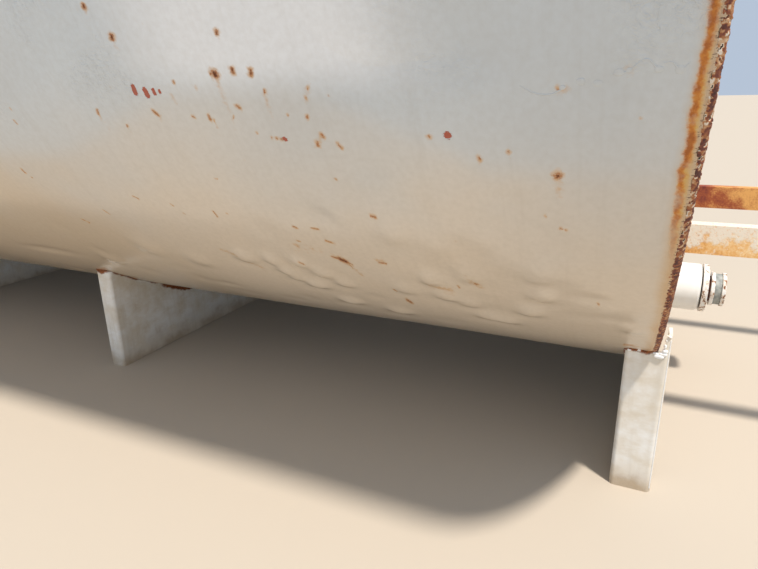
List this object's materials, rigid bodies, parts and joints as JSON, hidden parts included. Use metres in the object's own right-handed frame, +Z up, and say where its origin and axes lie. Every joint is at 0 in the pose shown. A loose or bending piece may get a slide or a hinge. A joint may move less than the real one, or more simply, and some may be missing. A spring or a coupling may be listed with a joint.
{
  "type": "horizontal pressure tank",
  "caption": "White horizontal cylindrical steel tank with flat ends on coped plate saddles, low end outlet with coupling, support rails, top manway and nozzles.",
  "frame": {"origin": "on the ground at the centre of the plan of the whole part, its support rails included", "axes": "+X along the tank axis towards the outlet end, +Z up, -Y the near side, seen in the picture"},
  "size_m": [6.0758, 3.0476, 3.493],
  "materials": {
    "enamel": "old glossy white enamel, dented, with rust spots and a rusty rim",
    "saddle_paint": "old white paint, dull and scuffed",
    "outlet_paint": "thick white paint, rust at the edges",
    "rusty_paint": "white paint worn through to orange rust",
    "rusty_steel": "rough brown and orange rust",
    "grey_band": "dull grey band"
  },
  "bodies": {
    "root": {"shell_front": "enamel", "shell_rear": "enamel", "head_outlet": "enamel", "head_plain": "enamel", "saddle_a_plate": "saddle_paint", "saddle_a_leg_near": "saddle_paint", "saddle_a_leg_far": "saddle_paint", "saddle_b_plate": "saddle_paint", "saddle_b_leg_near": "saddle_paint", "saddle_b_leg_far": "saddle_paint", "saddle_c_plate": "saddle_paint", "saddle_c_leg_near": "saddle_paint", "saddle_c_leg_far": "saddle_paint", "saddle_d_plate": "saddle_paint", "saddle_d_leg_near": "saddle_paint", "saddle_d_leg_far": "saddle_paint", "outlet_pipe": "outlet_paint", "outlet_collar": "outlet_paint", "outlet_nipple": "rusty_steel", "coupling_body": "outlet_paint", "coupling_band": "grey_band", "rail_near": "rusty_paint", "rail_far": "rusty_steel", "manway_neck": "enamel", "manway_flange": "enamel", "manway_cover": "enamel", "relief_neck": "enamel", "relief_flange": "enamel", "relief_cover": "enamel", "fill_neck": "enamel", "fill_flange": "enamel", "fill_cover": "enamel", "lug_front": "enamel", "lug_rear": "enamel"}
  },
  "joints": []
}
